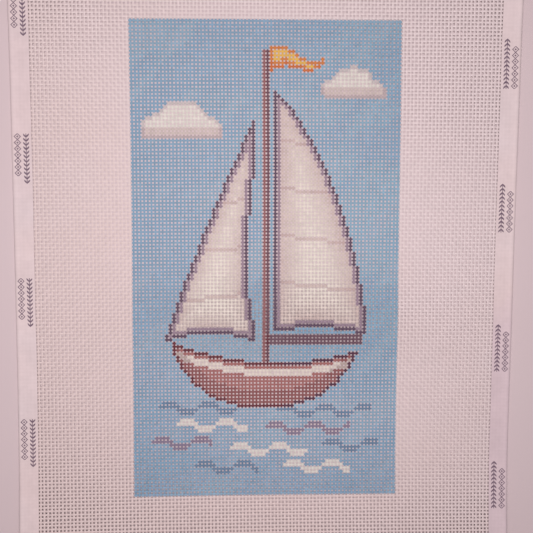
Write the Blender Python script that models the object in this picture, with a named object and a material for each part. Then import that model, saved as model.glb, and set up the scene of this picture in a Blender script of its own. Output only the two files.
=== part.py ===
"""Needlepoint canvas: a sheet of open mono mesh, 13 threads to the inch, bound on all four edges with folded tape.

The sheet lies face up. Its middle rests flat on the surface below, and its edges and corners curl up a little, as
cloth does that was stored rolled. Metres, +Z up, with the origin under the middle of the sheet.
"""

import math

import bmesh
import bpy

# The weave: one thread and one hole make up a pitch.
PITCH = 0.0254 / 13

# The painted rectangle and the bare margins around it, counted in threads.
PANEL_THREADS_ACROSS = 74
PANEL_THREADS_ALONG = 132
MARGIN_LEFT = 26
MARGIN_RIGHT = 27
MARGIN_TOP = 26
MARGIN_BOTTOM = 26

# The cloth and the tape.
CANVAS_THICKNESS = 0.0009
TAPE_WIDTH = 0.0103
TAPE_THICKNESS = 0.0003
CLEARANCE = 0.0003

# The even grid of threads that the sheet is laid out on, outer fold to outer fold.
WIDTH = (MARGIN_LEFT + PANEL_THREADS_ACROSS + MARGIN_RIGHT) * PITCH + 2 * TAPE_WIDTH
HEIGHT = (MARGIN_BOTTOM + PANEL_THREADS_ALONG + MARGIN_TOP) * PITCH + 2 * TAPE_WIDTH
TAPE_STACK = CANVAS_THICKNESS + 2 * CLEARANCE + 2 * TAPE_THICKNESS

# The left margin is a touch wider than on that grid, and the right one is wider at its top than at its bottom.
MARGIN_STRETCH = 0.018
RIGHT_TAPER = 0.12
LEFT_SIDE = MARGIN_LEFT * PITCH + TAPE_WIDTH
RIGHT_SIDE = MARGIN_RIGHT * PITCH + TAPE_WIDTH

# The curl: the share of the sheet that lies flat, how high the middle of each edge stands, and how much more three of
# the corners do.
FLAT_SHARE = 0.5
CURL_POWER = 1.7
CORNER_POWER = 1.4
LEFT_LIFT = 0.0008
RIGHT_LIFT = 0.0012
TOP_LIFT = 0.0044
BOTTOM_LIFT = 0.0090
TOP_LEFT_EXTRA = 0.0007
TOP_RIGHT_EXTRA = 0.0004
BOTTOM_LEFT_EXTRA = 0.0018

# How finely the curl is followed.
CELLS_ACROSS = 20
CELLS_ALONG = 28
FOLD_STEPS = 6

CANVAS_COLOUR = (0.86, 0.82, 0.80, 1.0)
TAPE_COLOUR = (0.90, 0.87, 0.86, 1.0)


def curl(share):
    """0 over the flat middle, rising to 1 at the rim, for a place given as its share of the half size."""
    return max(0.0, (abs(share) - FLAT_SHARE) / (1 - FLAT_SHARE)) ** CURL_POWER


def lift(x, y):
    """Height of the sheet's underside over the surface that it lies on."""
    share_x = x / (WIDTH / 2)
    share_y = y / (HEIGHT / 2)
    side = LEFT_LIFT if x < 0 else RIGHT_LIFT
    end = BOTTOM_LIFT if y < 0 else TOP_LIFT
    if y < 0:
        corner = BOTTOM_LEFT_EXTRA if x < 0 else 0.0
    else:
        corner = TOP_LEFT_EXTRA if x < 0 else TOP_RIGHT_EXTRA
    return side * curl(share_x) + end * curl(share_y) + corner * abs(share_x * share_y) ** CORNER_POWER


def spread(x, y):
    """Place across the real sheet of a place on the even grid, with the sheet's box centred on the origin."""
    left = min(0.0, x + WIDTH / 2 - LEFT_SIDE)
    right = max(0.0, x - WIDTH / 2 + RIGHT_SIDE)
    growth = RIGHT_TAPER * RIGHT_SIDE * HEIGHT / 2 - MARGIN_STRETCH * LEFT_SIDE
    return x + MARGIN_STRETCH * left + RIGHT_TAPER * right * y - growth / 2


def cloth_material(name, colour, roughness):
    """A plain cloth finish."""
    material = bpy.data.materials.new(name)
    material.use_nodes = True
    shader = material.node_tree.nodes["Principled BSDF"]
    shader.inputs["Base Color"].default_value = colour
    shader.inputs["Roughness"].default_value = roughness
    return material


def add_object(name, bm, material):
    """Turn a bmesh into a named object with its material."""
    mesh = bpy.data.meshes.new(name)
    bm.to_mesh(mesh)
    bm.free()
    mesh.materials.append(material)
    node = bpy.data.objects.new(name, mesh)
    bpy.context.scene.collection.objects.link(node)
    return node


def mesh_canvas(material):
    """The woven sheet as one plate, ending just inside the fold of the tape."""
    inset = TAPE_STACK / 2
    bm = bmesh.new()
    bmesh.ops.create_grid(bm, x_segments=CELLS_ACROSS, y_segments=CELLS_ALONG, size=0.5)
    for vertex in bm.verts:
        vertex.co.x *= WIDTH - 2 * inset
        vertex.co.y *= HEIGHT - 2 * inset
        vertex.co.z = lift(vertex.co.x, vertex.co.y)
        vertex.co.x = spread(vertex.co.x, vertex.co.y)
    node = add_object("mesh_canvas", bm, material)
    wall = node.modifiers.new("Thickness", "SOLIDIFY")
    wall.thickness = CANVAS_THICKNESS
    wall.offset = 1.0
    return node


def fold_arc(radius):
    """Half round of the fold, from its underside to its top, as (inward, up) pairs from the outer edge."""
    centre = TAPE_STACK / 2
    angles = [math.pi * step / FOLD_STEPS for step in range(FOLD_STEPS + 1)]
    return [(centre - radius * math.sin(a), -radius * math.cos(a)) for a in angles]


def tape_outline():
    """Closed outline of the folded tape's cut end: around the outside, then back along the inside."""
    outer = TAPE_STACK / 2
    inner = outer - TAPE_THICKNESS
    outside = [(TAPE_WIDTH, -outer), *fold_arc(outer), (TAPE_WIDTH, outer)]
    inside = [(TAPE_WIDTH, inner), *reversed(fold_arc(inner)), (TAPE_WIDTH, -inner)]
    return outside + inside


def folded_tape(name, material, place, length, cells):
    """A strip of tape folded over one edge.

    place turns (inward from the outer edge, distance along the edge) into x and y.
    """
    outline = tape_outline()
    bm = bmesh.new()
    rings = []
    for step in range(cells + 1):
        along = length * (step / cells - 0.5)
        ring = []
        for inward, up in outline:
            x, y = place(inward, along)
            ring.append(bm.verts.new((spread(x, y), y, lift(x, y) + CANVAS_THICKNESS / 2 + up)))
        rings.append(ring)
    count = len(outline)
    for near, far in zip(rings, rings[1:]):
        for i in range(count):
            j = (i + 1) % count
            bm.faces.new((near[i], near[j], far[j], far[i]))
    bm.faces.new(rings[0])
    bm.faces.new(rings[-1])
    bmesh.ops.recalc_face_normals(bm, faces=bm.faces)
    return add_object(name, bm, material)


def main():
    for old in list(bpy.data.objects):
        bpy.data.objects.remove(old, do_unlink=True)

    canvas_cloth = cloth_material("mesh_canvas", CANVAS_COLOUR, 0.85)
    tape_cloth = cloth_material("edge_tape", TAPE_COLOUR, 0.7)
    mesh_canvas(canvas_cloth)

    half_width = WIDTH / 2
    half_height = HEIGHT / 2
    end_length = WIDTH - 2 * (TAPE_WIDTH + CLEARANCE)
    tapes = {
        "tape_left": (lambda inward, along: (inward - half_width, along), HEIGHT, CELLS_ALONG),
        "tape_right": (lambda inward, along: (half_width - inward, along), HEIGHT, CELLS_ALONG),
        "tape_top": (lambda inward, along: (along, half_height - inward), end_length, CELLS_ACROSS),
        "tape_bottom": (lambda inward, along: (along, inward - half_height), end_length, CELLS_ACROSS),
    }
    for name, (place, length, cells) in tapes.items():
        folded_tape(name, tape_cloth, place, length, cells)


main()
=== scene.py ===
"""Looks of a hand-painted needlepoint canvas: the threads of its mesh, the paint on them and the edge tape.

The file is laid out as a Blender add-on and is run as a script. Each operator makes one group of pieces
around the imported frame, and the last one makes the table, the light and the camera.
"""

import math

import bpy
import numpy as np
from bpy.props import FloatProperty, FloatVectorProperty, PointerProperty
from mathutils import Euler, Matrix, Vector


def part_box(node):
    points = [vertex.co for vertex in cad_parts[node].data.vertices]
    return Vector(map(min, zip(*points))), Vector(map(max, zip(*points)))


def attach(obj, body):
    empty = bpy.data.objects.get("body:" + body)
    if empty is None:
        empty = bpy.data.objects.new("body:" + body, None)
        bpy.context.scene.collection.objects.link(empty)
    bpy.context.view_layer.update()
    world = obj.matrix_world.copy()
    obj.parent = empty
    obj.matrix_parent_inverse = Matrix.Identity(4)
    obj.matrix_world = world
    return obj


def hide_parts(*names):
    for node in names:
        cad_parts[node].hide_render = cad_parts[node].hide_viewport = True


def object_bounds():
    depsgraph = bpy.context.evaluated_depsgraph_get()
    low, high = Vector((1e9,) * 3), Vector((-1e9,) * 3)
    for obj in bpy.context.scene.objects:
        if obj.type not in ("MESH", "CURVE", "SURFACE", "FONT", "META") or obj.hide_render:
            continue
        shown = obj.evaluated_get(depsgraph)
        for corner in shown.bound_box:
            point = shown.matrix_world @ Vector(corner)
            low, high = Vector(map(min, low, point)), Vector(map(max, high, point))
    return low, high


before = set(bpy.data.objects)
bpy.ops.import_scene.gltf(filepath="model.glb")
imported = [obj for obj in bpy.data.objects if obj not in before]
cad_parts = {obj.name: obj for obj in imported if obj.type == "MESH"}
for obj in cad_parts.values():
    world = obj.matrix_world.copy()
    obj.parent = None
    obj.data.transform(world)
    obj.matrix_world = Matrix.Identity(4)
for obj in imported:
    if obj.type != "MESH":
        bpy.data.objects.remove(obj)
CAD_LOW, CAD_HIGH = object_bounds()

bl_info = {
    "name": "Needlepoint Canvas",
    "version": (1, 0, 0),
    "blender": (4, 5, 0),
    "location": "3D View > Sidebar > Needlepoint",
    "description": "Builds a hand-painted needlepoint canvas with folded edge tape",
    "category": "Add Mesh",
}

# The weave, counted in threads, as in the frame.
PITCH = 0.0254 / 13
PANEL_COLUMNS = 74
PANEL_ROWS = 132
LEFT_COLUMNS = 26
RIGHT_COLUMNS = 27
END_ROWS = 26
PANEL_BANDS = 3

# Threads that run on under the tape, so that the cloth has no edge in sight.
UNDER_LEFT = 4
UNDER_RIGHT = 3
UNDER_ENDS = 4

# The left margin is a touch wider than the even grid, and the right one is wider at its top than at its foot.
MARGIN_STRETCH = 0.018
RIGHT_TAPER = 0.12

# The even grid that the sheet is built on, before its margins are stretched.
HALF_HEIGHT = (CAD_HIGH.y - CAD_LOW.y) / 2
TAPE_WIDTH = (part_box("tape_left")[1].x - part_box("tape_left")[0].x) / (1 + MARGIN_STRETCH)
HALF_WIDTH = (LEFT_COLUMNS + PANEL_COLUMNS + RIGHT_COLUMNS) * PITCH / 2 + TAPE_WIDTH
MESH_LEFT = TAPE_WIDTH - HALF_WIDTH
MESH_BOTTOM = TAPE_WIDTH - HALF_HEIGHT
PANEL_LEFT = MESH_LEFT + LEFT_COLUMNS * PITCH
PANEL_RIGHT = PANEL_LEFT + PANEL_COLUMNS * PITCH

# The curl of the sheet, the same one as in the frame.
FLAT_SHARE = 0.5
CURL_POWER = 1.7
CORNER_POWER = 1.4
LEFT_LIFT = 0.0008
RIGHT_LIFT = 0.0012
TOP_LIFT = 0.0044
BOTTOM_LIFT = 0.0090
TOP_LEFT_EXTRA = 0.0007
TOP_RIGHT_EXTRA = 0.0004
BOTTOM_LEFT_EXTRA = 0.0018

# Low waves in the cloth, each with its height, its place and its reach.
WAVES = (
    (0.0028, (0.012, -0.031), (0.075, 0.021)),
    (0.0014, (0.094, 0.094), (0.048, 0.042)),
    (0.0008, (-0.100, -0.105), (0.050, 0.030)),
)

# The height of the mesh's middle over its underside.
CANVAS_MIDDLE = 0.00045

# The tape: its fold's radius and how far in the fold's swelling reaches, the gap that cloth keeps from cloth,
# how far a settled flange's middle lies from the mesh's middle, over what width it drops off a tape that it
# crosses, and how far the side tapes end inside the outer edge of the end ones.
FOLD_RADIUS = 0.000925
FOLD_REACH = 0.0032
TAPE_GAP = 0.00003
SETTLED = 0.00063
CROSSING_DROP = 0.0012
SIDE_TAPE_INSET = 0.0013

# The boat, in stitches of the panel: its mast's column, half its hull's length, and the rows of its deck, its
# boom and its mainsail's head.
MAST_COLUMN = 37.0
HULL_HALF_LENGTH = 26
BOOM_LENGTH = 27
DECK_ROW = 38
BOOM_ROW = 47.0
HEAD_ROW = 113.0

# How finely things are made: faces around a thread, and faces along and across a tape.
RING_SIDES = 6
TAPE_CELL = 0.0045
TAPE_CELLS_ACROSS = 40
WELD = 1e-5

SEED = 13


# ---------------------------------------------------------------- settings


class NeedlepointWeave(bpy.types.PropertyGroup):
    """Sizes of the mesh's threads."""

    thread_width: FloatProperty(
        name="Thread width", description="Width of a thread seen from above",
        default=0.00094, subtype="DISTANCE",
    )
    thread_thickness: FloatProperty(
        name="Thread thickness", description="Thickness of a flattened thread",
        default=0.00046, subtype="DISTANCE",
    )
    crimp: FloatProperty(
        name="Crimp", description="How far a thread rises over a crossing",
        default=0.00022, subtype="DISTANCE",
    )
    cotton: FloatVectorProperty(
        name="Cotton", description="Colour of the bare threads",
        default=(0.808, 0.745, 0.738), subtype="COLOR", size=3,
    )
    aged_cotton: FloatVectorProperty(
        name="Aged cotton", description="Its warmer tone towards the left and the foot of the sheet",
        default=(0.792, 0.703, 0.675), subtype="COLOR", size=3,
    )


class NeedlepointPaint(bpy.types.PropertyGroup):
    """Paints used on the panel."""

    ground: FloatVectorProperty(
        name="Ground", description="Light blue behind the boat",
        default=(0.242, 0.435, 0.595), subtype="COLOR", size=3,
    )
    deep: FloatVectorProperty(
        name="Deep blue", description="Darker strokes in the water and a thin wash at the upper left",
        default=(0.12, 0.24, 0.38), subtype="COLOR", size=3,
    )
    pale: FloatVectorProperty(
        name="Pale wash", description="Thin greenish wash over the right of the ground",
        default=(0.36, 0.70, 0.74), subtype="COLOR", size=3,
    )
    haze: FloatVectorProperty(
        name="Haze", description="Thin greyish wash over the foot of the ground",
        default=(0.42, 0.50, 0.66), subtype="COLOR", size=3,
    )
    cream: FloatVectorProperty(
        name="Cream", description="Sails, clouds and the boat's stripe",
        default=(0.86, 0.852, 0.757), subtype="COLOR", size=3,
    )
    shade: FloatVectorProperty(
        name="Shade", description="Soft shading of the sails and clouds",
        default=(0.50, 0.36, 0.35), subtype="COLOR", size=3,
    )
    mauve: FloatVectorProperty(
        name="Mauve", description="Inner outline and some of the waves",
        default=(0.25, 0.185, 0.28), subtype="COLOR", size=3,
    )
    plum: FloatVectorProperty(
        name="Plum", description="Outer outline",
        default=(0.070, 0.036, 0.085), subtype="COLOR", size=3,
    )
    rose: FloatVectorProperty(
        name="Rose", description="Hull and the lit side of the mast",
        default=(0.40, 0.17, 0.16), subtype="COLOR", size=3,
    )
    maroon: FloatVectorProperty(
        name="Maroon", description="Hull outline and spars",
        default=(0.14, 0.025, 0.04), subtype="COLOR", size=3,
    )
    yellow: FloatVectorProperty(
        name="Yellow", description="Pennant",
        default=(0.80, 0.52, 0.09), subtype="COLOR", size=3,
    )
    orange: FloatVectorProperty(
        name="Orange", description="Pennant's edge",
        default=(0.62, 0.15, 0.03), subtype="COLOR", size=3,
    )


class NeedlepointTape(bpy.types.PropertyGroup):
    """The tape folded over the edges."""

    thickness: FloatProperty(
        name="Thickness", description="Thickness of the tape's cloth",
        default=0.00025, subtype="DISTANCE",
    )
    under: FloatProperty(
        name="Under", description="Width of tape turned under the sheet",
        default=0.0101, subtype="DISTANCE",
    )
    ornament_spacing: FloatProperty(
        name="Ornament spacing", description="Distance between printed ornaments",
        default=0.0768, subtype="DISTANCE",
    )
    white: FloatVectorProperty(
        name="White", description="Colour of the tape's cloth",
        default=(0.79, 0.724, 0.724), subtype="COLOR", size=3,
    )
    worn_white: FloatVectorProperty(
        name="Worn white", description="Its tone in patches",
        default=(0.81, 0.714, 0.70), subtype="COLOR", size=3,
    )
    # A darker, more violet tone laid over one end of a tape.
    handled: FloatVectorProperty(
        name="Darker End", description="Its tone where hands have held it",
        default=(0.715, 0.622, 0.655), subtype="COLOR", size=3,
    )
    ink: FloatVectorProperty(
        name="Ink", description="Colour of the printed ornament",
        default=(0.13, 0.085, 0.135), subtype="COLOR", size=3,
    )


class NeedlepointStage(bpy.types.PropertyGroup):
    """The table, the light and the camera."""

    table: FloatVectorProperty(
        name="Table", description="Colour of the table",
        default=(0.715, 0.642, 0.652), subtype="COLOR", size=3,
    )
    light_colour: FloatVectorProperty(
        name="Light colour", description="Colour of the soft light above the sheet",
        default=(1.0, 0.862, 0.88), subtype="COLOR", size=3,
    )
    light_size: FloatProperty(
        name="Light size", description="Side of the square light",
        default=0.22, subtype="DISTANCE",
    )
    light_power: FloatProperty(
        name="Light power", description="Power of the light",
        default=2.55, unit="POWER",
    )
    room_colour: FloatVectorProperty(
        name="Room colour", description="Colour of the light from all around",
        default=(0.98, 0.84, 0.90), subtype="COLOR", size=3,
    )
    room_strength: FloatProperty(
        name="Room strength", description="Strength of the light from all around",
        default=0.15, min=0,
    )
    lens: FloatProperty(
        name="Lens", description="Focal length of the camera",
        default=54.0, min=10, max=200, unit="CAMERA",
    )
    distance: FloatProperty(
        name="Camera distance", description="From the camera to the painted panel",
        default=0.4343, subtype="DISTANCE",
    )
    tilt: FloatProperty(
        name="Tilt", description="How far the top of the sheet leans to the camera",
        default=math.radians(4.76), subtype="ANGLE",
    )
    lean: FloatProperty(
        name="Lean", description="How far the left of the sheet leans to the camera",
        default=math.radians(1.92), subtype="ANGLE",
    )
    roll: FloatProperty(
        name="Roll", description="How far the camera is turned about its own axis",
        default=math.radians(0.15), subtype="ANGLE",
    )


# ---------------------------------------------------------------- the shape of the sheet


def spread(x, y):
    """Place across the real sheet of a place on the even grid, with its margins stretched."""
    left = np.minimum(0, x - PANEL_LEFT)
    right = np.maximum(0, x - PANEL_RIGHT)
    slide = CAD_LOW.x + HALF_WIDTH + MARGIN_STRETCH * (HALF_WIDTH + PANEL_LEFT)
    return x + MARGIN_STRETCH * left + RIGHT_TAPER * right * y + slide


def curl(share):
    """0 over the flat middle, rising to 1 at the rim, for places given as shares of the half size."""
    return np.maximum(0.0, (np.abs(share) - FLAT_SHARE) / (1 - FLAT_SHARE)) ** CURL_POWER


def lift(x, y):
    """Height of the sheet's underside over the table."""
    side = np.where(x < 0, LEFT_LIFT, RIGHT_LIFT)
    end = np.where(y < 0, BOTTOM_LIFT, TOP_LIFT)
    upper = np.where(x < 0, TOP_LEFT_EXTRA, TOP_RIGHT_EXTRA)
    lower = np.where(x < 0, BOTTOM_LEFT_EXTRA, 0.0)
    corner = np.where(y < 0, lower, upper) * np.abs(x / HALF_WIDTH * y / HALF_HEIGHT) ** CORNER_POWER
    height = side * curl(x / HALF_WIDTH) + end * curl(y / HALF_HEIGHT) + corner
    for rise, (middle_x, middle_y), (reach_x, reach_y) in WAVES:
        height = height + rise * np.exp(-(((x - middle_x) / reach_x) ** 2) - ((y - middle_y) / reach_y) ** 2)
    return height


def points_of(mesh):
    """The mesh's points as an array."""
    flat = np.empty(len(mesh.vertices) * 3, np.float32)
    mesh.vertices.foreach_get("co", flat)
    return flat.reshape(-1, 3).astype(float)


def set_points(mesh, points):
    """Write an array of points back to the mesh."""
    mesh.vertices.foreach_set("co", points.astype(np.float32).ravel())
    mesh.update()


def face_centres(mesh):
    """The middle of each face as an array."""
    flat = np.empty(len(mesh.polygons) * 3, np.float32)
    mesh.polygons.foreach_get("center", flat)
    return flat.reshape(-1, 3).astype(float)


def corner_faces(mesh):
    """For each corner of each face, the number of its face."""
    sizes = np.empty(len(mesh.polygons), np.int32)
    mesh.polygons.foreach_get("loop_total", sizes)
    return np.repeat(np.arange(len(sizes)), sizes)


def corner_points(mesh):
    """For each corner of each face, the number of its point."""
    points = np.empty(len(mesh.loops), np.int32)
    mesh.loops.foreach_get("vertex_index", points)
    return points


# ---------------------------------------------------------------- weaving


def deselect_all():
    """Leave edit mode and select nothing."""
    if bpy.context.object and bpy.context.object.mode != "OBJECT":
        bpy.ops.object.mode_set(mode="OBJECT")
    bpy.ops.object.select_all(action="DESELECT")


def make_active(piece):
    """Select one object alone and make it the active one."""
    deselect_all()
    piece.select_set(True)
    bpy.context.view_layer.objects.active = piece


def thread_repeat(weave, lane, is_warp):
    """One repeat of a thread: over one crossing and under the next, two pitches long."""
    half = PITCH / 2
    middle = weave.crimp + weave.thread_thickness / 2
    place = (half + lane * PITCH, 0, middle) if is_warp else (0, half + lane * PITCH, middle)
    turn = (math.pi / 2, 0, 0 if is_warp else math.pi / 2)
    deselect_all()
    bpy.ops.mesh.primitive_circle_add(
        vertices=RING_SIDES, radius=weave.thread_width / 2, fill_type="NOTHING",
        enter_editmode=True, location=place, rotation=turn,
    )
    widen = 1 / math.cos(math.pi / RING_SIDES)
    flatten = weave.thread_thickness / weave.thread_width
    bpy.ops.mesh.select_all(action="SELECT")
    bpy.ops.transform.resize(value=(widen, widen, flatten), center_override=place)
    first = 1 if (lane == 0) != is_warp else -1
    for rise in (first, -first, -first, first):
        step = (0, half, rise * weave.crimp) if is_warp else (half, 0, rise * weave.crimp)
        bpy.ops.mesh.extrude_region_move(TRANSFORM_OT_translate={"value": step})
    bpy.ops.object.mode_set(mode="OBJECT")
    bpy.ops.object.transform_apply(location=True, rotation=True, scale=True)
    thread = bpy.context.object
    marks = thread.data.attributes.new("is_warp", "FLOAT", "POINT")
    marks.data.foreach_set("value", np.full(len(thread.data.vertices), float(is_warp), np.float32))
    return thread


def weave_repeat(weave):
    """One repeat of the plain weave: two warp and two weft threads."""
    threads = [thread_repeat(weave, lane, is_warp) for is_warp in (False, True) for lane in (0, 1)]
    make_active(threads[0])
    for thread in threads:
        thread.select_set(True)
    bpy.ops.object.join()
    return bpy.context.object


def repeat(piece, count, step):
    """Lay copies of the mesh in a row, welded where they meet."""
    row = piece.modifiers.new("Repeat", "ARRAY")
    row.count = count
    row.use_relative_offset = False
    row.use_constant_offset = True
    row.constant_offset_displace = step
    row.use_merge_vertices = True
    row.merge_threshold = WELD
    bpy.ops.object.modifier_apply(modifier=row.name)


def woven_piece(name, weave, first_column, first_row, columns, rows):
    """A stretch of mesh, flat, with each thread a closed tube."""
    piece = weave_repeat(weave)
    piece.name = piece.data.name = name
    repeat(piece, columns // 2, (2 * PITCH, 0, 0))
    repeat(piece, rows // 2, (0, 2 * PITCH, 0))
    bpy.ops.object.mode_set(mode="EDIT")
    bpy.ops.mesh.select_all(action="SELECT")
    bpy.ops.mesh.fill_holes(sides=RING_SIDES)
    bpy.ops.mesh.normals_make_consistent(inside=False)
    bpy.ops.object.mode_set(mode="OBJECT")
    points = points_of(piece.data)
    depth = piece.data.attributes.new("rise", "FLOAT", "POINT")
    depth.data.foreach_set("value", points[:, 2] / points[:, 2].max())
    points[:, 0] += MESH_LEFT + first_column * PITCH
    points[:, 1] += MESH_BOTTOM + first_row * PITCH
    set_points(piece.data, points)
    return piece


def bake_map(mesh, low, high):
    """A flat layout of the piece: faces that look up in one half, the others beside them."""
    normals = np.empty(len(mesh.polygons) * 3, np.float32)
    mesh.polygons.foreach_get("normal", normals)
    faces = corner_faces(mesh)
    below = normals.reshape(-1, 3)[faces, 2] < 0
    place = points_of(mesh)[corner_points(mesh)]
    size = high - low
    shares = (place[:, :2] - low) / size
    layout = np.empty((len(faces), 2), np.float32)
    if size[0] > size[1]:
        layout[:, 0] = shares[:, 0]
        layout[:, 1] = (shares[:, 1] + below) / 2
    else:
        layout[:, 0] = (shares[:, 0] + below) / 2
        layout[:, 1] = shares[:, 1]
    mesh.uv_layers.new(name="OFBake")
    mesh.uv_layers["OFBake"].data.foreach_set("uv", layout.ravel())


def thread_noise(rng, count):
    """A small fixed number for each thread, and the phases of its slow wander."""
    return rng.normal(0, 1, count), rng.uniform(0, 2 * math.pi, (count, 2))


def lay_threads(piece, rng_seed):
    """Give the flat, even mesh the uneven threads and the curl of the real sheet."""
    rng = np.random.default_rng(rng_seed)
    all_columns = LEFT_COLUMNS + PANEL_COLUMNS + RIGHT_COLUMNS
    spare = 10
    jitter, phases = thread_noise(rng, all_columns + PANEL_ROWS + 2 * END_ROWS + 4 * spare)
    mesh = piece.data
    points = points_of(mesh)
    marks = np.empty(len(points), np.float32)
    mesh.attributes["is_warp"].data.foreach_get("value", marks)
    warp = marks > 0.5
    across = np.where(warp, points[:, 0] - MESH_LEFT, points[:, 1] - MESH_BOTTOM)
    along = np.where(warp, points[:, 1], points[:, 0])
    number = np.floor(across / PITCH).astype(int) + spare
    number = np.where(warp, number, number + all_columns + spare)

    # Each thread swells and thins, wanders a few hundredths of a millimetre, and lies a little off its place.
    first, second = phases[number, 0], phases[number, 1]
    offset = across / PITCH - np.floor(across / PITCH) - 0.5
    swell = 0.05 * np.sin(along * 900 + first) + 0.03 * np.sin(along * 2300 + second)
    wander = 0.00006 * np.sin(along * 60 + first) + 0.00003 * np.sin(along * 170 + second)
    shift = offset * PITCH * swell + wander + 0.00003 * jitter[number]
    points[:, 0] += np.where(warp, shift, 0)
    points[:, 1] += np.where(warp, 0, shift)

    # The whole cloth is pulled a quarter of a millimetre out of square here and there.
    pull = 0.00025
    x, y = points[:, 0].copy(), points[:, 1].copy()
    points[:, 0] = spread(x, y) + pull * np.sin(y * 21 + 0.7) * np.cos(x * 9)
    points[:, 1] += pull * np.sin(x * 24 + 1.9) * np.cos(y * 8)
    points[:, 2] += lift(x, y)
    set_points(mesh, points)


def finish_woven(piece, material):
    """Smooth, cover and hand over a woven piece."""
    make_active(piece)
    bpy.ops.object.shade_smooth_by_angle(angle=math.radians(70))
    piece.data.materials.append(material)
    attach(piece, "root")
    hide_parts("mesh_canvas")


# ---------------------------------------------------------------- the edge tape


def smooth_step(value):
    """0 below 0, 1 above 1, and a smooth rise between them."""
    value = np.clip(value, 0, 1)
    return value * value * (3 - 2 * value)


def fold_stand(inward):
    """1 at the fold of a tape, falling to 0 where the tape has settled on the mesh."""
    return 1 - smooth_step((inward - FOLD_RADIUS) / FOLD_REACH)


def corner_stand(side_inward, tape):
    """How far an end tape stands off the mesh where it crosses over a side tape."""
    over = 1 - smooth_step((side_inward - TAPE_WIDTH) / CROSSING_DROP)
    return over * (tape.thickness + TAPE_GAP) + (FOLD_RADIUS - SETTLED) * fold_stand(side_inward)


def tape_flat_grid(name, length, tape):
    """A flat strip of tape, with its length along x and its cut width along y."""
    width = TAPE_WIDTH - FOLD_RADIUS + math.pi * FOLD_RADIUS + tape.under - FOLD_RADIUS
    deselect_all()
    bpy.ops.mesh.primitive_grid_add(
        x_subdivisions=3 * round(length / TAPE_CELL), y_subdivisions=TAPE_CELLS_ACROSS,
        size=1, location=(0, 0, 0),
    )
    bpy.ops.transform.resize(value=(length, width, 1))
    bpy.ops.object.transform_apply(location=True, rotation=True, scale=True)
    strip = bpy.context.object
    strip.name = strip.data.name = name
    return strip, width


def folded(strip, width, side, tape, crosses_sides):
    """Fold a flat strip over one edge of the sheet. Returns each point's place along and across the strip."""
    points = points_of(strip.data)
    along = points[:, 0].copy()
    across = points[:, 1] + width / 2
    rng = np.random.default_rng(SEED + len(side) + ord(side[0]))
    bends = rng.uniform(0, 2 * math.pi, 6)
    wave = np.sin(along * 55 + bends[0])
    wave = wave + 0.6 * np.sin(along * 140 + bends[1]) + 0.3 * np.sin(along * 410 + bends[2])

    # Across the strip: the upper flange, the half round of the fold, and the flange turned under.
    upper = TAPE_WIDTH - FOLD_RADIUS
    turn = np.clip((across - upper) / FOLD_RADIUS, 0, math.pi)
    under = np.maximum(0, across - upper - math.pi * FOLD_RADIUS)
    inward = FOLD_RADIUS * (1 - np.sin(turn)) + np.maximum(0, upper - across) + under
    stand = SETTLED + (FOLD_RADIUS - SETTLED) * fold_stand(inward)
    if crosses_sides:
        stand += corner_stand(HALF_WIDTH - np.abs(along), tape)

    # Away from the fold the tape wanders a little, in and out.
    inward += 0.00006 * wave * smooth_step((inward - 0.004) / 0.006)

    # Small creases across the tape, and its slow swelling.
    swell = 0.00005 * (1 + np.sin(along * 75 + bends[3])) * (1 + np.sin(across * 260 + bends[4]))
    for place in rng.uniform(-0.5, 0.5, 9) * (along.max() - along.min()):
        skew = rng.uniform(-0.25, 0.25)
        swell += rng.uniform(0.00006, 0.00013) * np.exp(-(((along - place - skew * across) / 0.0011) ** 2))
    flat = np.abs(np.cos(turn))
    up = np.cos(turn) * stand + np.sign(np.cos(turn)) * flat * np.minimum(swell, 0.0005)

    x, y = {
        "left": (inward - HALF_WIDTH, along),
        "right": (HALF_WIDTH - inward, -along),
        "top": (along, HALF_HEIGHT - inward),
        "bottom": (-along, inward - HALF_HEIGHT),
    }[side]
    middle = lift(x, y) + CANVAS_MIDDLE
    set_points(strip.data, np.stack([spread(x, y), y, middle + up], axis=1))
    return along, across


def add_thickness(strip, thickness):
    """Give a folded strip the thickness of its cloth."""
    wall = strip.modifiers.new("Thickness", "SOLIDIFY")
    wall.thickness = thickness
    wall.offset = 0
    bpy.ops.object.modifier_apply(modifier=wall.name)


def tape_maps(mesh, along, across, length, width, thickness):
    """The strip's own flat map, in metres, and its baking map: three lengths of each face, side by side."""
    corners = corner_points(mesh)
    inner = (np.arange(len(mesh.vertices)) >= len(along))[corners]
    along = np.tile(along, 2)[corners]
    across = np.tile(across, 2)[corners]
    pattern = mesh.uv_layers.new(name="tape_flat")
    pattern.data.foreach_set("uv", np.stack([along, across], axis=1).astype(np.float32).ravel())

    # Which face of the cloth, or which part of its cut rim, each face belongs to, and in which third it lies.
    faces = corner_faces(mesh)
    count = np.bincount(faces)
    inner_share = (np.bincount(faces, inner) / count)[faces]
    middle = (np.bincount(faces, along) / count)[faces]
    third = np.clip(np.floor((middle / length + 0.5) * 3), 0, 2)
    rim = (inner_share > 0.25) & (inner_share < 0.75)
    end_rim = rim & (np.abs(np.abs(middle) - length / 2) < 1e-6)
    side_rim = rim & ~end_rim

    # One lane for each third, with both faces of the cloth in it and the rims beside the face that they join.
    lane = 2 * width + 8 * thickness
    u = along + length / 2 - third * length / 3 + 2 * thickness
    u += np.where(end_rim & inner, thickness * np.sign(along), 0)
    v = across + thickness
    v += np.where(inner_share > 0.75, width + 3 * thickness, 0)
    v += np.where(side_rim & inner, np.where(across > width / 2, thickness, -thickness), 0)
    v += third * lane
    side = max(3 * lane, length / 3 + 4 * thickness)
    baking = mesh.uv_layers.new(name="OFBake")
    baking.data.foreach_set("uv", (np.stack([u, v], axis=1) / side).astype(np.float32).ravel())


# ---------------------------------------------------------------- the painted picture


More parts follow.
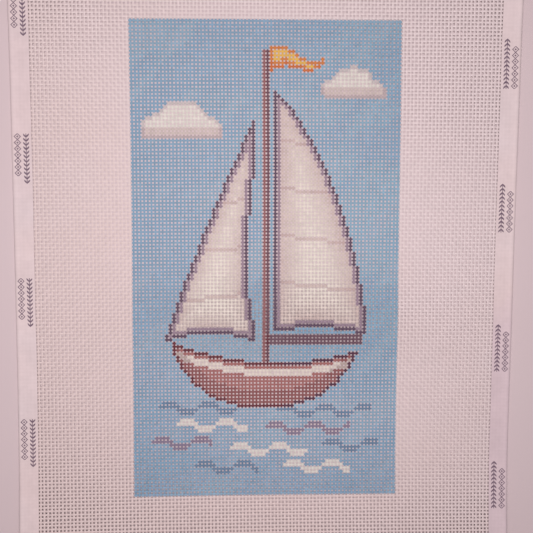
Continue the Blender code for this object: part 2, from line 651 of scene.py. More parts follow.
def shrink(mask, steps=1):
    """The mask without its outermost stitches."""
    for _ in range(steps):
        inner = mask.copy()
        inner[1:] &= mask[:-1]
        inner[:-1] &= mask[1:]
        inner[:, 1:] &= mask[:, :-1]
        inner[:, :-1] &= mask[:, 1:]
        mask = inner
    return mask


def depth_inside(mask, deepest):
    """How many stitches each stitch of the mask lies from the mask's edge, up to a limit."""
    depth = np.zeros(mask.shape)
    while deepest > 0:
        depth += mask
        mask = shrink(mask)
        deepest -= 1
    return depth


def lay_colour(picture, mask, colour, strength=1.0):
    """Paint a colour over the picture where the mask is, fully or as a thin coat."""
    share = (mask * strength)[..., None]
    picture[:] = picture * (1 - share) + np.array(colour) * share


def mottle(rows, columns, seed):
    """Soft, uneven brushwork from -1 to 1."""
    rng = np.random.default_rng(seed)
    total = 0
    for size in (5, 9, 17, 31):
        angle = rng.uniform(0, math.pi)
        phase = rng.uniform(0, 2 * math.pi, 2)
        run = columns * math.cos(angle) + rows * math.sin(angle)
        rise = rows * math.cos(angle) - columns * math.sin(angle)
        pitch = 2 * math.pi / size
        total = total + np.sin(run * pitch + phase[0]) * np.sin(rise * pitch + phase[1])
    return total / 4


def wash_ground(picture, columns, rows, paint):
    """Thin washes in broad slanting strokes: darker at the upper left, greener right, greyer below."""
    strokes = 2.4 * mottle(0.15 * (rows + columns), 0.45 * (columns - rows), SEED + 1)
    side = columns / PANEL_COLUMNS
    height = rows / PANEL_ROWS
    lay_colour(picture, np.clip((1 - side) * height + strokes, 0, 1), paint.deep, 0.12)
    lay_colour(picture, np.clip(side * np.sin(math.pi * height) + strokes, 0, 1), paint.pale, 0.2)
    lay_colour(picture, np.clip(1 - 1.5 * height + strokes, 0, 1), paint.haze, 0.2)


def paint_clouds(picture, columns, rows, paint):
    """Two clouds: rounded heaps on a level base."""
    heaps = ((-6, 1.5, 4.5), (0, 3.0, 6.5), (6.5, 1.0, 4.0))
    for middle, base, size in ((14, 101, 1.0), (61, 112, 0.8)):
        cloud = np.zeros(rows.shape, bool)
        for along, up, radius in heaps:
            far = ((columns - middle - along * size) / 1.15) ** 2 + (rows - base - up * size) ** 2
            cloud |= (far < (radius * size) ** 2) & (rows > base - 1)
        depth = depth_inside(cloud, 4)
        lay_colour(picture, cloud, paint.cream, 0.9)
        lay_colour(picture, cloud & (rows < base + 2), paint.shade, 0.45)
        lay_colour(picture, cloud & (depth <= 1), paint.mauve, 0.35)


def paint_water(picture, columns, rows, paint):
    """Broken wavy strokes under the hull, each from its first column, with its length and its row."""
    for start, length, level, colour in (
        (7, 25, 25, paint.deep),
        (40, 27, 24, paint.deep),
        (12, 20, 20, paint.cream),
        (37, 24, 19, paint.mauve),
        (5, 17, 15, paint.mauve),
        (27, 22, 13, paint.cream),
        (53, 16, 14, paint.deep),
        (17, 18, 8, paint.deep),
        (42, 19, 8, paint.cream),
    ):
        wave = level + 1.3 * np.sin((columns - start) * 2 * math.pi / 11)
        ends = (columns > start) & (columns < start + length)
        lay_colour(picture, ends & (np.abs(rows - wave) < 0.8), colour, 0.85)


def paint_hull(picture, columns, rows, paint):
    """The hull: a curved sheer above, with a stripe under it, and a round bilge below."""
    reach = (columns - MAST_COLUMN) / HULL_HALF_LENGTH
    sheer = DECK_ROW + 4.5 * reach ** 2 - 1.2 * reach
    bilge = DECK_ROW - 13 * np.clip(1 - np.abs(reach) ** 2.6, 0, 1) ** 0.8 + 3 * np.abs(reach) ** 3
    hull = (rows < sheer) & (rows > bilge) & (np.abs(reach) < 1)
    rim = hull & (depth_inside(hull, 6) <= 1)
    lay_colour(picture, hull, paint.rose)
    lay_colour(picture, hull & (rows > sheer - 4) & (rows < sheer - 2), paint.cream, 0.9)
    lay_colour(picture, hull & (rows < bilge + 5), paint.maroon, 0.45)
    lay_colour(picture, rim, paint.maroon)
    lay_colour(picture, rim & (reach > 0.2), paint.plum, 0.6)


def paint_spars(picture, columns, rows, paint):
    """The mast, lit on its left, and the boom."""
    aloft = (rows > DECK_ROW) & (rows < HEAD_ROW + 11)
    lay_colour(picture, (np.abs(columns - MAST_COLUMN) < 1.1) & aloft, paint.maroon, 0.9)
    lay_colour(picture, (np.abs(columns - MAST_COLUMN + 0.6) < 0.5) & aloft, paint.rose, 0.6)
    aft = (columns > MAST_COLUMN) & (columns < MAST_COLUMN + BOOM_LENGTH)
    lay_colour(picture, (np.abs(rows - BOOM_ROW + 2.5) < 1.1) & aft, paint.maroon, 0.85)


def mainsail_shape(columns, rows):
    """The mainsail: a straight luff along the mast, a hollow foot and a full leech."""
    height = np.clip((rows - BOOM_ROW) / (HEAD_ROW - BOOM_ROW), 0, 1)
    leech = MAST_COLUMN + 2.5 + 26 * (1 - height) ** 0.72 + 3.0 * np.sin(math.pi * height)
    along = np.clip((columns - MAST_COLUMN) / BOOM_LENGTH, 0, 1)
    foot = BOOM_ROW + 1.8 * np.sin(math.pi * along) - 1
    return (columns > MAST_COLUMN + 1.6) & (columns < leech) & (rows > foot) & (rows < HEAD_ROW)


def jib_shape(columns, rows):
    """The jib, set on a stay from the bow to near the mast's head."""
    bow = 9.0
    tack = 45.0
    top = 106.0
    height = np.clip((rows - tack) / (top - tack), 0, 1)
    stay = bow + (MAST_COLUMN - 3 - bow) * height - 1.2 * np.sin(math.pi * height)
    leech = MAST_COLUMN - 2.5 - 4.5 * np.sin(math.pi * height) * (1 - height)
    foot = tack - 1 + 2.2 * np.sin(math.pi * np.clip((columns - bow) / 25, 0, 1))
    return (columns > stay) & (columns < leech) & (rows > foot) & (rows < top)


def paint_cloth(picture, sail, paint, brush, depth_limit):
    """Paint a sail: cream in the middle, shaded to its edges, with a double outline."""
    depth = depth_inside(sail, depth_limit)
    shading = np.clip(1 - (depth + 1.5 * brush) / depth_limit, 0, 1) ** 1.6
    lay_colour(picture, sail, paint.cream)
    lay_colour(picture, sail, paint.shade, 0.85 * shading)
    lay_colour(picture, sail & (depth <= 2), paint.mauve, 0.8)
    lay_colour(picture, sail & (depth <= 1), paint.plum, 0.85)


def paint_seams(picture, sail, columns, rows, first, paint):
    """The seams of a sail, from the first one's row up."""
    for seam in range(5):
        level = first + 13 * seam - 0.12 * np.abs(columns - MAST_COLUMN)
        lay_colour(picture, shrink(sail, 2) & (np.abs(rows - level) < 0.5), paint.shade, 0.5)


def paint_pennant(picture, columns, rows, paint):
    """A pennant, streaming from the mast's head."""
    run = (columns - MAST_COLUMN - 1) / 15
    middle = HEAD_ROW + 8 + 1.2 * np.sin(run * 2 * math.pi)
    pennant = (run > 0) & (run < 1) & (np.abs(rows - middle) < 3.4 * (1 - 0.75 * run))
    lay_colour(picture, pennant, paint.yellow)
    lay_colour(picture, pennant & (rows < middle - 0.6), paint.orange, 0.75)
    lay_colour(picture, pennant & ~shrink(pennant), paint.orange, 0.8)


def boat_picture(paint):
    """Colour of each stitch of the panel, as rows from the bottom and columns from the left."""
    columns, rows = np.meshgrid(np.arange(PANEL_COLUMNS) + 0.5, np.arange(PANEL_ROWS) + 0.5)
    brush = mottle(rows, columns, SEED)
    picture = np.empty((PANEL_ROWS, PANEL_COLUMNS, 3))
    picture[:] = np.array(paint.ground)
    wash_ground(picture, columns, rows, paint)
    picture *= (1 + 0.05 * brush)[..., None]
    paint_clouds(picture, columns, rows, paint)
    paint_water(picture, columns, rows, paint)
    paint_hull(picture, columns, rows, paint)
    paint_spars(picture, columns, rows, paint)
    mainsail = mainsail_shape(columns, rows)
    jib = jib_shape(columns, rows)
    paint_cloth(picture, mainsail, paint, brush, 12)
    paint_cloth(picture, jib, paint, brush, 9)
    paint_seams(picture, mainsail, columns, rows, 61, paint)
    paint_seams(picture, jib, columns, rows, 58, paint)
    paint_pennant(picture, columns, rows, paint)

    # No two stitches took quite the same paint.
    rng = np.random.default_rng(SEED)
    picture *= 1 + rng.normal(0, 0.025, picture.shape[:2])[..., None]
    return np.clip(picture, 0, 1)


def colour_threads(piece, picture, first_row, cotton):
    """Carry the picture to the threads, one colour for each crossing, thinly on the back."""
    mesh = piece.data
    centres = face_centres(mesh)
    columns = np.floor((centres[:, 0] - MESH_LEFT) / PITCH).astype(int) - LEFT_COLUMNS
    rows = np.floor((centres[:, 1] - MESH_BOTTOM) / PITCH).astype(int) - END_ROWS
    columns = np.clip(columns, 0, PANEL_COLUMNS - 1)
    rows = np.clip(rows, first_row, PANEL_ROWS - 1)
    colours = picture[rows, columns]
    normals = np.empty(len(mesh.polygons) * 3, np.float32)
    mesh.polygons.foreach_get("normal", normals)
    bare = 0.5 * np.clip(-normals.reshape(-1, 3)[:, 2:], 0, 1)
    colours = colours * (1 - bare) + np.array(cotton) * bare
    layer = mesh.color_attributes.new("paint", "FLOAT_COLOR", "CORNER")
    corners = np.ones((len(mesh.loops), 4), np.float32)
    corners[:, :3] = colours[corner_faces(mesh)]
    layer.data.foreach_set("color", corners.ravel())


# ---------------------------------------------------------------- finishes


def feed(tree, socket, value):
    """Give a socket its value: another node's socket, a number or a colour."""
    if isinstance(value, bpy.types.NodeSocket):
        tree.links.new(value, socket)
    elif isinstance(value, (int, float)):
        socket.default_value = value
    else:
        socket.default_value = (*value, 1)


def new_group(name, inputs, outputs):
    """A shader node group with named sockets, given as name: type."""
    group = bpy.data.node_groups.new(name, "ShaderNodeTree")
    for label, kind in inputs.items():
        group.interface.new_socket(label, in_out="INPUT", socket_type=f"NodeSocket{kind}")
    for label, kind in outputs.items():
        group.interface.new_socket(label, in_out="OUTPUT", socket_type=f"NodeSocket{kind}")
    return group, group.nodes.new("NodeGroupInput").outputs, group.nodes.new("NodeGroupOutput").inputs


def placed(tree, build, values):
    """Place a finish's node group, built only once, in a tree with its own values. Returns its outputs."""
    node = tree.nodes.new("ShaderNodeGroup")
    node.node_tree = bpy.data.node_groups.get(build.__name__) or build()
    for label, value in values.items():
        feed(tree, node.inputs[label], value)
    return node.outputs


def math_node(tree, operation, first, second=None, clamp=False):
    """A Math node on sockets or plain numbers."""
    node = tree.nodes.new("ShaderNodeMath")
    node.operation = operation
    node.use_clamp = clamp
    for socket, value in zip(node.inputs, (first, second)):
        if value is not None:
            feed(tree, socket, value)
    return node.outputs[0]


def noise_node(tree, vector, scale, detail=2.0):
    """A Noise Texture read at the given coordinates."""
    node = tree.nodes.new("ShaderNodeTexNoise")
    node.inputs["Scale"].default_value = scale
    node.inputs["Detail"].default_value = detail
    tree.links.new(vector, node.inputs["Vector"])
    return node.outputs["Fac"]


def blend(tree, share, first, second):
    """From the first value to the second one by a share between 0 and 1, as a weighted sum of two."""
    return math_node(
        tree, "ADD", math_node(tree, "MULTIPLY", first, 1 - share), math_node(tree, "MULTIPLY", second, share)
    )


def mix_colours(tree, share, first, second):
    """From the first colour to the second one by a share."""
    node = tree.nodes.new("ShaderNodeMix")
    node.data_type = "RGBA"
    feed(tree, node.inputs["Factor"], share)
    feed(tree, node.inputs[6], first)
    feed(tree, node.inputs[7], second)
    return node.outputs[2]


def object_place(tree):
    """The piece's own coordinates."""
    return tree.nodes.new("ShaderNodeTexCoord").outputs["Object"]


def attribute(tree, name, output="Fac"):
    """One of the mesh's own attributes."""
    node = tree.nodes.new("ShaderNodeAttribute")
    node.attribute_name = name
    return node.outputs[output]


def shaded_colour():
    """A colour lightened and darkened by a shade value around its middle."""
    group, source, result = new_group(
        "shaded_colour", {"Colour": "Color", "Shade": "Float", "Spread": "Float"}, {"Colour": "Color"}
    )
    node = group.nodes.new("ShaderNodeHueSaturation")
    value = math_node(group, "MULTIPLY", math_node(group, "SUBTRACT", source["Shade"], 0.5), source["Spread"])
    group.links.new(math_node(group, "ADD", value, 1.0), node.inputs["Value"])
    group.links.new(source["Colour"], node.inputs["Color"])
    group.links.new(node.outputs["Color"], result["Colour"])
    return group


def dip_painted_shade():
    """Painted shade: a colour darkened where the threads dip between their neighbours, the lower the darker.
    """
    group, source, result = new_group(
        "dip_painted_shade", {"Colour": "Color", "Rise": "Float", "Amount": "Float"}, {"Colour": "Color"}
    )
    node = group.nodes.new("ShaderNodeHueSaturation")
    depth = math_node(group, "MULTIPLY", math_node(group, "SUBTRACT", 1.0, source["Rise"]), source["Amount"])
    group.links.new(math_node(group, "SUBTRACT", 1.0, depth), node.inputs["Value"])
    group.links.new(source["Colour"], node.inputs["Color"])
    group.links.new(node.outputs["Color"], result["Colour"])
    return group


def spun_yarn():
    """Spun cotton: the slanting lines of the twist and its unevenness, along each thread."""
    group, source, result = new_group(
        "spun_yarn",
        {"Place": "Vector", "Is Warp": "Float", "Twist": "Float"},
        {"Height": "Float", "Shade": "Float"},
    )
    split = group.nodes.new("ShaderNodeSeparateXYZ")
    group.links.new(source["Place"], split.inputs[0])
    x, y = split.outputs[0], split.outputs[1]
    slant = math_node(group, "SUBTRACT", math_node(group, "MULTIPLY", source["Is Warp"], 1.2), 0.6)
    run = math_node(group, "ADD", math_node(group, "ADD", x, y), math_node(group, "MULTIPLY", slant, x))
    turns = math_node(group, "SINE", math_node(group, "MULTIPLY", run, source["Twist"]))
    fuzz = noise_node(group, source["Place"], 2600.0, 3.0)
    slubs = noise_node(group, source["Place"], 180.0)
    height = math_node(group, "ADD", math_node(group, "MULTIPLY", turns, 0.25), fuzz)
    group.links.new(height, result["Height"])
    group.links.new(blend(group, 0.65, fuzz, slubs), result["Shade"])
    return group


def new_material(name, roughness, sheen=0.0):
    """A material with its Principled shader, ready to be wired."""
    material = bpy.data.materials.new(name)
    material.use_nodes = True
    shader = material.node_tree.nodes["Principled BSDF"]
    shader.inputs["Roughness"].default_value = roughness
    shader.inputs["Sheen Weight"].default_value = sheen
    shader.inputs["IOR"].default_value = 1.45
    return material, material.node_tree, shader


def bump(tree, shader, height, strength, distance):
    """Feed a height to the shader's normal."""
    node = tree.nodes.new("ShaderNodeBump")
    node.inputs["Strength"].default_value = strength
    node.inputs["Distance"].default_value = distance
    tree.links.new(height, node.inputs["Height"])
    tree.links.new(node.outputs["Normal"], shader.inputs["Normal"])


def place_yarn(tree, place):
    """The spun yarn, wired to the piece's own place and thread direction."""
    return placed(tree, spun_yarn, {"Place": place, "Is Warp": attribute(tree, "is_warp"), "Twist": 9000.0})


def bare_cotton(weave):
    """Stiffened white cotton, aged to a warmer tone towards the left and the foot."""
    material, tree, shader = new_material("bare_cotton", 0.42)
    place = object_place(tree)
    yarn = place_yarn(tree, place)

    # Age: half in the sheet's middle, growing by a share for each metre left and down, in drifting patches.
    aged_middle = 0.5
    growth_left = 5.0
    growth_down = 4.0
    patches = 1.2
    split = tree.nodes.new("ShaderNodeSeparateXYZ")
    tree.links.new(place, split.inputs[0])
    drift = math_node(tree, "SUBTRACT", noise_node(tree, place, 24.0), 0.5)
    left = math_node(tree, "MULTIPLY", split.outputs[0], -growth_left)
    age = math_node(tree, "ADD", math_node(tree, "MULTIPLY", split.outputs[1], -growth_down), left)
    age = math_node(tree, "ADD", math_node(tree, "MULTIPLY", drift, patches), age)
    age = math_node(tree, "ADD", age, aged_middle, clamp=True)

    cotton = mix_colours(tree, age, weave.cotton, weave.aged_cotton)
    tone = placed(tree, shaded_colour, {"Colour": cotton, "Shade": yarn["Shade"], "Spread": 0.16})
    # Painted shade where the threads dip: their low places are darkened.
    rise = attribute(tree, "rise")
    dip_shade = placed(tree, dip_painted_shade, {"Colour": tone["Colour"], "Rise": rise, "Amount": 0.12})
    tree.links.new(dip_shade["Colour"], shader.inputs["Base Color"])
    bump(tree, shader, yarn["Height"], 0.35, 0.00008)
    return material


def painted_cotton():
    """The same threads under thin acrylic paint, each crossing in its own colour."""
    material, tree, shader = new_material("painted_cotton", 0.58)
    place = object_place(tree)
    yarn = place_yarn(tree, place)
    coats = noise_node(tree, place, 420.0, 3.0)
    paint = attribute(tree, "paint", "Color")
    tone = placed(tree, shaded_colour, {"Colour": paint, "Shade": coats, "Spread": 0.30})
    tone = placed(tree, shaded_colour, {"Colour": tone["Colour"], "Shade": yarn["Shade"], "Spread": 0.14})
    # Painted shade where the threads dip: their low places are darkened.
    rise = attribute(tree, "rise")
    dip_shade = placed(tree, dip_painted_shade, {"Colour": tone["Colour"], "Rise": rise, "Amount": 0.3})
    tree.links.new(dip_shade["Colour"], shader.inputs["Base Color"])
    gloss = math_node(tree, "ADD", math_node(tree, "MULTIPLY", coats, 0.3), 0.42)
    tree.links.new(gloss, shader.inputs["Roughness"])
    bump(tree, shader, yarn["Height"], 0.25, 0.00006)
    return material


def shape_mask(tree, distance, half_width):
    """1 where a distance is under a half width, with a slightly soft edge."""
    softness = 0.00012
    edge = math_node(tree, "SUBTRACT", half_width, distance)
    return math_node(tree, "ADD", math_node(tree, "DIVIDE", edge, softness), 0.5, clamp=True)


def distance_to(tree, place, mark):
    """How far a place is from a mark."""
    return math_node(tree, "ABSOLUTE", math_node(tree, "SUBTRACT", place, mark))


def repeat_cell(tree, along, length):
    """Place within a repeating cell, from 0 to 1, for places down to a hundred cells before the first one."""
    return math_node(tree, "FRACT", math_node(tree, "ADD", math_node(tree, "DIVIDE", along, length), 100.0))


def leaf_sprig(group, run, across, drawn):
    """A sprig: slanting leaves in pairs on a thin stem."""
    stem_across = 0.0028
    leaf_length = 0.0022
    leaf_reach = 0.0015
    leaf_half_width = 0.00052
    stem_half_width = 0.00019
    half_length = 0.0132
    rise = distance_to(group, across, stem_across)
    cell = repeat_cell(group, run, leaf_length)
    off_leaf = distance_to(group, rise, math_node(group, "MULTIPLY", cell, leaf_reach))
    plump = math_node(group, "SINE", math_node(group, "MULTIPLY", cell, math.pi))
    leaves = drawn(off_leaf, math_node(group, "MULTIPLY", plump, leaf_half_width))
    sprig = math_node(group, "MAXIMUM", leaves, drawn(rise, stem_half_width))
    far = math_node(group, "ABSOLUTE", run)
    return math_node(group, "MULTIPLY", sprig, shape_mask(group, far, half_length))


def diamond_chain(group, run, across, drawn):
    """A chain of seven joined diamonds with a dot in each, level with the sprig at one end."""
    chain_along = 0.0020
    chain_across = 0.0072
    diamond_length = 0.0032
    diamond_breadth = 0.0031
    line_half_width = 0.00030
    dot_radius = 0.0006
    half_length = 0.0112
    run = math_node(group, "SUBTRACT", run, chain_along)
    rise = distance_to(group, across, chain_across)
    cell = repeat_cell(group, math_node(group, "ADD", run, diamond_length / 2), diamond_length)
    cell = distance_to(group, cell, 0.5)
    side = math_node(group, "MULTIPLY", math_node(group, "SUBTRACT", 0.5, cell), diamond_breadth)
    diamonds = drawn(distance_to(group, rise, side), line_half_width)
    off_dot = math_node(group, "ADD", math_node(group, "MULTIPLY", cell, diamond_length), rise)
    chain = math_node(group, "MAXIMUM", diamonds, drawn(off_dot, dot_radius))
    far = math_node(group, "ABSOLUTE", run)
    return math_node(group, "MULTIPLY", chain, shape_mask(group, far, half_length))


def printed_ornament():
    """The printed ornament: a sprig beside a shorter chain of diamonds, over and over along the tape."""
    group, source, result = new_group(
        "printed_ornament", {"Flat": "Vector", "Start": "Float", "Spacing": "Float"}, {"Ink": "Float"}
    )
    split = group.nodes.new("ShaderNodeSeparateXYZ")
    group.links.new(source["Flat"], split.inputs[0])
    along, across = split.outputs[0], split.outputs[1]
    wobble = math_node(group, "SUBTRACT", noise_node(group, source["Flat"], 900.0), 0.5)
    wobble = math_node(group, "MULTIPLY", wobble, 0.00022)
    spacing = source["Spacing"]
    run = repeat_cell(group, math_node(group, "SUBTRACT", along, source["Start"]), spacing)
    run = math_node(group, "MULTIPLY", math_node(group, "SUBTRACT", run, 0.5), spacing)

    def drawn(distance, half_width):
        """A stroke or shape with a hand-worn edge."""
        return shape_mask(group, math_node(group, "ADD", distance, wobble), half_width)

    sprig = leaf_sprig(group, run, across, drawn)
    chain = diamond_chain(group, run, across, drawn)
    group.links.new(math_node(group, "MAXIMUM", sprig, chain), result["Ink"])
    return group


def felt_mesh(tree, place):
    """Soft ridges, one for each thread of the mesh, felt through the tape."""
    return math_node(tree, "SINE", math_node(tree, "MULTIPLY", place, 2 * math.pi / PITCH))


def woven_threads(group, flat):
    """The fine weave of the tape: 1 in the gaps between its threads."""
    threads = group.nodes.new("ShaderNodeTexBrick")
    threads.inputs["Scale"].default_value = 1.0
    threads.inputs["Brick Width"].default_value = 0.0008
    threads.inputs["Row Height"].default_value = 0.0004
    threads.inputs["Mortar Size"].default_value = 0.00007
    threads.inputs["Mortar Smooth"].default_value = 1.0
    group.links.new(flat, threads.inputs["Vector"])
    return threads.outputs["Fac"]


def woven_tape():
    """White cotton tape: its weave, mottled tone, the mesh felt through it with painted shade on its ridges,
    and a darker tone over one end.
    """
    group, source, result = new_group(
        "woven_tape",
        {
            "Place": "Vector", "Flat": "Vector",
            "White": "Color", "Worn": "Color", "Darker End": "Color", "End Darkening": "Float",
        },
        {"Colour": "Color", "Height": "Float"},
    )
    split = group.nodes.new("ShaderNodeSeparateXYZ")
    group.links.new(source["Flat"], split.inputs[0])
    along, across = split.outputs[0], split.outputs[1]
    cloud = noise_node(group, source["Place"], 60.0, 3.0)
    drift = noise_node(group, source["Place"], 22.0)
    speck = noise_node(group, source["Place"], 330.0)
    mesh = math_node(group, "ADD", felt_mesh(group, along), felt_mesh(group, across))

    # Worn patches.
    warmth = math_node(group, "MULTIPLY", math_node(group, "SUBTRACT", drift, 0.32), 2.8, clamp=True)
    white = mix_colours(group, warmth, source["White"], source["Worn"])

    # Darker towards one end: a darker, more violet tone is laid over the tape from a little past its middle
    # on, over a cloudy border.
    darkening_from = 0.004
    border = 0.035
    end_darkening = math_node(group, "MULTIPLY", math_node(group, "SUBTRACT", along, darkening_from), 1 / border)
    end_darkening = math_node(group, "ADD", end_darkening, math_node(group, "MULTIPLY", cloud, 2.0))
    end_darkening = math_node(group, "SUBTRACT", end_darkening, 1.0, clamp=True)
    end_darkening = math_node(group, "MULTIPLY", end_darkening, source["End Darkening"])
    white = mix_colours(group, end_darkening, white, source["Darker End"])

    mottling_and_ridge_shade = blend(group, 0.4, cloud, speck)
    # Painted light and shade: the mesh's ridges felt through the tape also lighten and darken its colour a
    # little.
    mottling_and_ridge_shade = math_node(group, "ADD", mottling_and_ridge_shade, math_node(group, "MULTIPLY", mesh, 0.03))
    tone = placed(group, shaded_colour, {"Colour": white, "Shade": mottling_and_ridge_shade, "Spread": 0.32})
    group.links.new(tone["Colour"], result["Colour"])

    gaps = math_node(group, "MULTIPLY", woven_threads(group, source["Flat"]), -0.4)
    height = math_node(group, "ADD", gaps, cloud)
    height = math_node(group, "ADD", height, math_node(group, "MULTIPLY", mesh, 0.12))
    group.links.new(height, result["Height"])
    return group


def tape_cloth(name, tape, start, end_darkening):
    """The tape's cloth: where along it the ornament starts, and how much darker one end of it is made."""
    material, tree, shader = new_material(name, 0.62, 0.05)
    flat = tree.nodes.new("ShaderNodeUVMap")
    flat.uv_map = "tape_flat"
    place = object_place(tree)
    cloth = placed(tree, woven_tape, {
        "Place": place, "Flat": flat.outputs["UV"], "White": tape.white, "Worn": tape.worn_white,
        "Darker End": tape.handled, "End Darkening": end_darkening,
    })
    stamp = placed(tree, printed_ornament, {
        "Flat": flat.outputs["UV"], "Start": start, "Spacing": tape.ornament_spacing,
    })
    worn = noise_node(tree, place, 700.0)
    ink = math_node(tree, "ADD", math_node(tree, "MULTIPLY", worn, 0.4), 0.7, clamp=True)
    ink = math_node(tree, "MULTIPLY", ink, stamp["Ink"])
    tree.links.new(mix_colours(tree, ink, cloth["Colour"], tape.ink), shader.inputs["Base Color"])
    bump(tree, shader, cloth["Height"], 0.35, 0.00012)
    return material


# ---------------------------------------------------------------- table, lights and camera


def table_top(stage):
    """A plain pale table, finely grained."""
    deselect_all()
    bpy.ops.mesh.primitive_plane_add(size=4.0, location=(0, 0, 0))
    table = bpy.context.object
    table.name = table.data.name = "table"
    material, tree, shader = new_material("table_paint", 0.6)
    grain = noise_node(tree, object_place(tree), 14.0, 4.0)
    tone = placed(tree, shaded_colour, {"Colour": stage.table, "Shade": grain, "Spread": 0.05})
    tree.links.new(tone["Colour"], shader.inputs["Base Color"])
    table.data.materials.append(material)


def key_light(stage):
    """A soft square light above the sheet, a little up and left of its middle, which it looks at."""
    place = (-0.022, 0.050, 0.54)
    deselect_all()
    bpy.ops.object.light_add(type="AREA", location=place)
    light = bpy.context.object
    light.name = "key"
    light.data.size = stage.light_size
    light.data.energy = stage.light_power
    light.data.color = stage.light_colour
    light.rotation_euler = (-Vector(place)).to_track_quat("-Z", "Y").to_euler()


def soft_room(stage):
    """The weak light from all around."""
    world = bpy.data.worlds.new("soft_room")
    world.use_nodes = True
    background = world.node_tree.nodes["Background"]
    background.inputs["Color"].default_value = (*stage.room_colour, 1)
    background.inputs["Strength"].default_value = stage.room_strength
    bpy.context.scene.world = world
    bpy.context.scene.view_settings.view_transform = "Standard"


def add_camera(stage):
    """A camera nearly straight above the sheet, turned and slid a little off its middle."""
    turn = Euler((stage.tilt, stage.lean, stage.roll), "XYZ").to_matrix()
    panel_middle = Vector((spread((PANEL_LEFT + PANEL_RIGHT) / 2, 0), 0, 0))
    slide = Vector((-0.0004, 0.0021, 0))
    place = turn.transposed() @ (Vector((0, 0, stage.distance)) - slide) + panel_middle
    deselect_all()
    bpy.ops.object.camera_add(location=place)
    camera = bpy.context.object
    camera.rotation_euler = turn.transposed().to_euler()
    camera.data.lens = stage.lens
    camera.data.sensor_width = 36
    camera.data.clip_start = 0.01
    bpy.context.scene.camera = camera


# ---------------------------------------------------------------- operators


class NEEDLEPOINT_OT_margins(bpy.types.Operator):
    """Weave the bare mesh around the painted panel"""

    bl_idname = "needlepoint.margins"
    bl_label = "Bare margins"

    def execute(self, context):
        weave = context.scene.needlepoint_weave
        material = bare_cotton(weave)
        all_columns = UNDER_LEFT + LEFT_COLUMNS + PANEL_COLUMNS + RIGHT_COLUMNS + UNDER_RIGHT
        end_rows = END_ROWS + UNDER_ENDS
        after_panel = LEFT_COLUMNS + PANEL_COLUMNS
        regions = {
            "mesh_left": (-UNDER_LEFT, END_ROWS, UNDER_LEFT + LEFT_COLUMNS, PANEL_ROWS),
            "mesh_right": (after_panel, END_ROWS, RIGHT_COLUMNS + UNDER_RIGHT, PANEL_ROWS),
            "mesh_top": (-UNDER_LEFT, END_ROWS + PANEL_ROWS, all_columns, end_rows),
            "mesh_bottom": (-UNDER_LEFT, -UNDER_ENDS, all_columns, end_rows),
        }
        for name, (column, row, columns, rows) in regions.items():
            piece = woven_piece(name, weave, column, row, columns, rows)
            low = np.array([MESH_LEFT + column * PITCH, MESH_BOTTOM + row * PITCH])
            bake_map(piece.data, low, low + np.array([columns, rows]) * PITCH)
            lay_threads(piece, SEED)
            finish_woven(piece, material)
        return {"FINISHED"}


class NEEDLEPOINT_OT_panel(bpy.types.Operator):
    """Weave the middle of the sheet and paint the boat on it"""

    bl_idname = "needlepoint.panel"
    bl_label = "Painted panel"

    def execute(self, context):
        weave = context.scene.needlepoint_weave
        picture = boat_picture(context.scene.needlepoint_paint)
        material = painted_cotton()
        rows = PANEL_ROWS // PANEL_BANDS
        for band in range(PANEL_BANDS):
            row = END_ROWS + band * rows
            piece = woven_piece(f"painted_mesh_{band + 1}", weave, LEFT_COLUMNS, row, PANEL_COLUMNS, rows)
            low = np.array([MESH_LEFT + LEFT_COLUMNS * PITCH, MESH_BOTTOM + row * PITCH])
            bake_map(piece.data, low, low + np.array([PANEL_COLUMNS, rows]) * PITCH)
            colour_threads(piece, picture, band * rows, weave.cotton)
            lay_threads(piece, SEED)
            finish_woven(piece, material)
        return {"FINISHED"}


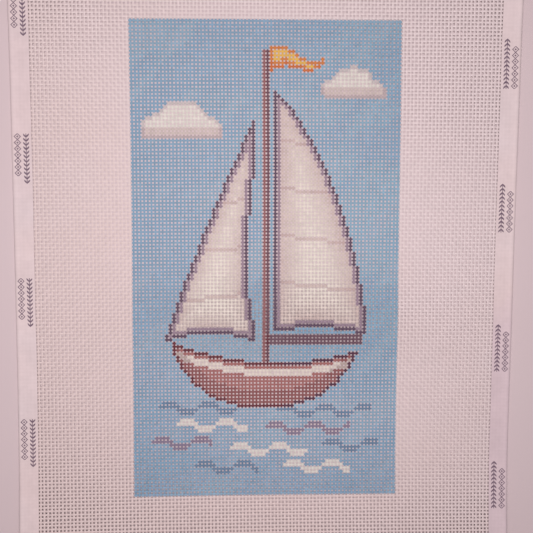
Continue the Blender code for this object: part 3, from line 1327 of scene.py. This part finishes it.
class NEEDLEPOINT_OT_tapes(bpy.types.Operator):
    """Fold the tape over the four edges"""

    bl_idname = "needlepoint.tapes"
    bl_label = "Edge tapes"

    def execute(self, context):
        tape = context.scene.needlepoint_tape
        side_length = 2 * (HALF_HEIGHT - SIDE_TAPE_INSET)
        end_length = 2 * HALF_WIDTH
        # Each tape's side and length, where its ornament starts, and how much darker one end of it is made.
        for side, length, start, end_darkening in (
            ("left", side_length, 0.0173, 0.15),
            ("right", side_length, 0.0089, 0.85),
            ("top", end_length, 0.012, 0.0),
            ("bottom", end_length, -0.020, 0.3),
        ):
            strip, width = tape_flat_grid(f"edge_tape_{side}", length, tape)
            along, across = folded(strip, width, side, tape, side in ("top", "bottom"))
            add_thickness(strip, tape.thickness)
            tape_maps(strip.data, along, across, length, width, tape.thickness)
            bpy.ops.object.shade_smooth_by_angle(angle=math.radians(50))
            strip.data.materials.append(tape_cloth(f"tape_cloth_{side}", tape, start, end_darkening))
            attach(strip, "root")
            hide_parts(f"tape_{side}")
        return {"FINISHED"}


class NEEDLEPOINT_OT_stage(bpy.types.Operator):
    """Set up the table, the soft light and the camera"""

    bl_idname = "needlepoint.stage"
    bl_label = "Table, light and camera"

    def execute(self, context):
        stage = context.scene.needlepoint_stage
        table_top(stage)
        key_light(stage)
        soft_room(stage)
        add_camera(stage)
        return {"FINISHED"}


class NEEDLEPOINT_PT_sidebar(bpy.types.Panel):
    """Lists the steps in the 3D view's sidebar"""

    bl_label = "Needlepoint Canvas"
    bl_space_type = "VIEW_3D"
    bl_region_type = "UI"
    bl_category = "Needlepoint"

    def draw(self, context):
        for step in STEPS:
            self.layout.operator(step.bl_idname)


GROUPS = {
    "needlepoint_weave": NeedlepointWeave,
    "needlepoint_paint": NeedlepointPaint,
    "needlepoint_tape": NeedlepointTape,
    "needlepoint_stage": NeedlepointStage,
}
STEPS = (NEEDLEPOINT_OT_margins, NEEDLEPOINT_OT_panel, NEEDLEPOINT_OT_tapes, NEEDLEPOINT_OT_stage)
CLASSES = (*GROUPS.values(), *STEPS, NEEDLEPOINT_PT_sidebar)


def register():
    """Make the settings, the steps and the sidebar known to Blender."""
    for cls in CLASSES:
        bpy.utils.register_class(cls)
    for name, group in GROUPS.items():
        setattr(bpy.types.Scene, name, PointerProperty(type=group))


def unregister():
    """Take them all away again."""
    for name in GROUPS:
        delattr(bpy.types.Scene, name)
    for cls in reversed(CLASSES):
        bpy.utils.unregister_class(cls)


def main():
    """Run every step."""
    register()
    bpy.ops.needlepoint.margins()
    bpy.ops.needlepoint.panel()
    bpy.ops.needlepoint.tapes()
    bpy.ops.needlepoint.stage()


if __name__ == "__main__":
    main()
